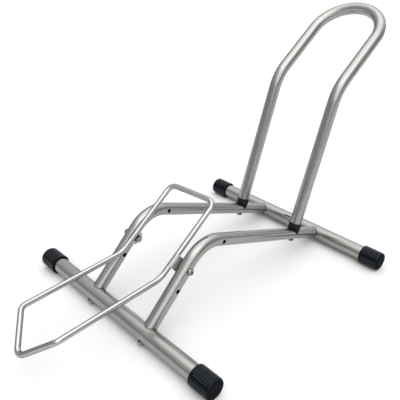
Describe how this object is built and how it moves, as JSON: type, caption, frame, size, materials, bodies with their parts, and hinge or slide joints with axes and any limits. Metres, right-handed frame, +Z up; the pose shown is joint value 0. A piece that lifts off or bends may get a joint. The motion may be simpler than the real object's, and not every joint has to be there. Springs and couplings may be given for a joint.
{
  "type": "floor bike stand",
  "caption": "Free-standing floor stand that holds a bicycle upright by one wheel, with a tipping rod cradle, bent tube base and a tall rear hoop.",
  "frame": {"origin": "on the floor, midway along the stand's length and midway between its two sides", "axes": "+X runs from the entry side, where the wheel rolls in, to the hoop; +Y is the left side; +Z is up"},
  "size_m": [0.8931, 0.4866, 0.5025],
  "materials": {
    "galvanised_tube": "satin zinc-coated steel tube",
    "bright_rod": "bright zinc-plated steel rod",
    "zinc_fixings": "zinc-plated steel fixings",
    "cap_rubber": "matt black moulded rubber",
    "saddle_plastic": "black moulded plastic"
  },
  "bodies": {
    "stand": {"front_crossbar": "galvanised_tube", "rear_crossbar": "galvanised_tube", "side_tube_left": "galvanised_tube", "side_tube_right": "galvanised_tube", "hoop": "galvanised_tube", "cap_front_left": "cap_rubber", "cap_front_right": "cap_rubber", "cap_rear_left": "cap_rubber", "cap_rear_right": "cap_rubber", "hoop_saddle_left": "saddle_plastic", "hoop_saddle_right": "saddle_plastic", "front_bolt_left": "zinc_fixings", "front_bolt_right": "zinc_fixings", "front_insert_left": "zinc_fixings", "front_insert_right": "zinc_fixings", "rear_bolt_left": "zinc_fixings", "rear_bolt_right": "zinc_fixings", "rear_insert_left": "zinc_fixings", "rear_insert_right": "zinc_fixings", "hoop_bolt_left": "zinc_fixings", "hoop_bolt_right": "zinc_fixings", "hoop_insert_left": "zinc_fixings", "hoop_insert_right": "zinc_fixings", "pivot_bolt_left": "zinc_fixings", "pivot_bolt_right": "zinc_fixings", "pivot_washer_left": "zinc_fixings", "pivot_washer_right": "zinc_fixings", "pivot_nut_left": "zinc_fixings", "pivot_nut_right": "zinc_fixings"},
    "rocker": {"rocker": "bright_rod", "rocker_lug_left": "bright_rod", "rocker_lug_right": "bright_rod"}
  },
  "joints": [
    {"name": "rocker_pivot", "type": "hinge", "parent": "stand", "child": "rocker", "pos_m": [-0.15985, 0, 0.11397], "axis": [0, 1, 0], "range_deg": [-8.5, 103]}
  ]
}
